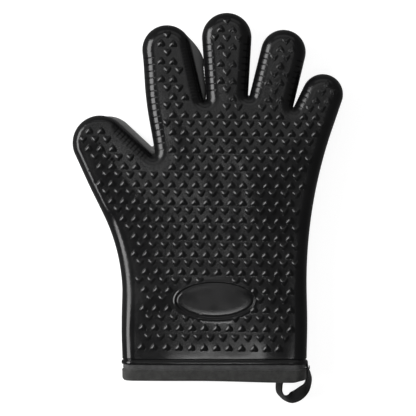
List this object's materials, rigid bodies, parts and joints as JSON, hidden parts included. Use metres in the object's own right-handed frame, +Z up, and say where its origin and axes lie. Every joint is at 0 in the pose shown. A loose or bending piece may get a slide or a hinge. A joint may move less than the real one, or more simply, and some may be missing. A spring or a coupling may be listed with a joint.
{
  "type": "heat resistant glove",
  "caption": "Heat resistant silicone glove with a studded grip on both faces, ribbed finger sides, a sewn fabric lining, a bound cuff and a hanging loop.",
  "frame": {"origin": "under the middle of the glove's outline, on the surface that the glove lies on", "axes": "+Y from the cuff to the fingertips, +Z up through the glove's thickness to the upper face, thumb at -X"},
  "size_m": [0.1984, 0.2871, 0.028],
  "materials": {
    "black_silicone": "satin moulded silicone",
    "lining_cloth": "knitted cotton",
    "facing_cloth": "plain woven cloth",
    "binding_cloth": "twill bias tape",
    "sewing_thread": "spun polyester thread",
    "loop_webbing": "narrow woven tape"
  },
  "bodies": {
    "palm": {"palm_back_lining": "lining_cloth", "palm_back_shell": "black_silicone", "palm_front_lining": "lining_cloth", "palm_front_shell": "black_silicone", "cuff_facing": "facing_cloth", "binding_tape": "binding_cloth", "binding_stitches": "sewing_thread", "loop_tail": "loop_webbing", "loop_bartack": "sewing_thread"},
    "thumb_base": {"thumb_base_back_shell": "black_silicone", "thumb_base_front_shell": "black_silicone", "thumb_base_lining": "lining_cloth"},
    "thumb_tip": {"thumb_tip_back_shell": "black_silicone", "thumb_tip_front_shell": "black_silicone", "thumb_tip_lining": "lining_cloth"},
    "index_base": {"index_base_back_shell": "black_silicone", "index_base_front_shell": "black_silicone", "index_base_lining": "lining_cloth"},
    "index_tip": {"index_tip_back_shell": "black_silicone", "index_tip_front_shell": "black_silicone", "index_tip_lining": "lining_cloth"},
    "middle_base": {"middle_base_back_shell": "black_silicone", "middle_base_front_shell": "black_silicone", "middle_base_lining": "lining_cloth"},
    "middle_tip": {"middle_tip_back_shell": "black_silicone", "middle_tip_front_shell": "black_silicone", "middle_tip_lining": "lining_cloth"},
    "ring_base": {"ring_base_back_shell": "black_silicone", "ring_base_front_shell": "black_silicone", "ring_base_lining": "lining_cloth"},
    "ring_tip": {"ring_tip_back_shell": "black_silicone", "ring_tip_front_shell": "black_silicone", "ring_tip_lining": "lining_cloth"},
    "little_base": {"little_base_back_shell": "black_silicone", "little_base_front_shell": "black_silicone", "little_base_lining": "lining_cloth"},
    "little_tip": {"little_tip_back_shell": "black_silicone", "little_tip_front_shell": "black_silicone", "little_tip_lining": "lining_cloth"},
    "loop": {"hanging_loop": "loop_webbing"}
  },
  "joints": [
    {"name": "thumb_base_bend", "type": "hinge", "parent": "palm", "child": "thumb_base", "pos_m": [-0.06618, 0.03267, 0.028], "axis": [0.807, 0.5906, 0], "range_deg": [0, 45], "stiffness_Nm_per_rad": 0.06},
    {"name": "thumb_tip_bend", "type": "hinge", "parent": "thumb_base", "child": "thumb_tip", "pos_m": [-0.07681, 0.04719, 0.028], "axis": [0.807, 0.5906, 0], "range_deg": [0, 50], "stiffness_Nm_per_rad": 0.06},
    {"name": "index_base_bend", "type": "hinge", "parent": "palm", "child": "index_base", "pos_m": [-0.02398, 0.08222, 0.028], "axis": [0.9851, 0.1719, 0], "range_deg": [0, 55], "stiffness_Nm_per_rad": 0.06},
    {"name": "index_tip_bend", "type": "hinge", "parent": "index_base", "child": "index_tip", "pos_m": [-0.02811, 0.10586, 0.028], "axis": [0.9851, 0.1719, 0], "range_deg": [0, 60], "stiffness_Nm_per_rad": 0.06},
    {"name": "middle_base_bend", "type": "hinge", "parent": "palm", "child": "middle_base", "pos_m": [0.01397, 0.0867, 0.028], "axis": [1, 0.007, 0], "range_deg": [0, 55], "stiffness_Nm_per_rad": 0.06},
    {"name": "middle_tip_bend", "type": "hinge", "parent": "middle_base", "child": "middle_tip", "pos_m": [0.01379, 0.1127, 0.028], "axis": [1, 0.007, 0], "range_deg": [0, 60], "stiffness_Nm_per_rad": 0.06},
    {"name": "ring_base_bend", "type": "hinge", "parent": "palm", "child": "ring_base", "pos_m": [0.04753, 0.08245, 0.028], "axis": [0.9711, -0.2385, 0], "range_deg": [0, 55], "stiffness_Nm_per_rad": 0.06},
    {"name": "ring_tip_bend", "type": "hinge", "parent": "ring_base", "child": "ring_tip", "pos_m": [0.05301, 0.10479, 0.028], "axis": [0.9711, -0.2385, 0], "range_deg": [0, 60], "stiffness_Nm_per_rad": 0.06},
    {"name": "little_base_bend", "type": "hinge", "parent": "palm", "child": "little_base", "pos_m": [0.07875, 0.0701, 0.028], "axis": [0.9239, -0.3827, 0], "range_deg": [0, 45], "stiffness_Nm_per_rad": 0.06},
    {"name": "little_tip_bend", "type": "hinge", "parent": "little_base", "child": "little_tip", "pos_m": [0.08449, 0.08396, 0.028], "axis": [0.9239, -0.3827, 0], "range_deg": [0, 50], "stiffness_Nm_per_rad": 0.06},
    {"name": "loop_swing", "type": "hinge", "parent": "palm", "child": "loop", "pos_m": [0.06375, -0.1294, 0.014], "axis": [-1, 0, 0], "range_deg": [-60, 75], "stiffness_Nm_per_rad": 0.0005}
  ]
}
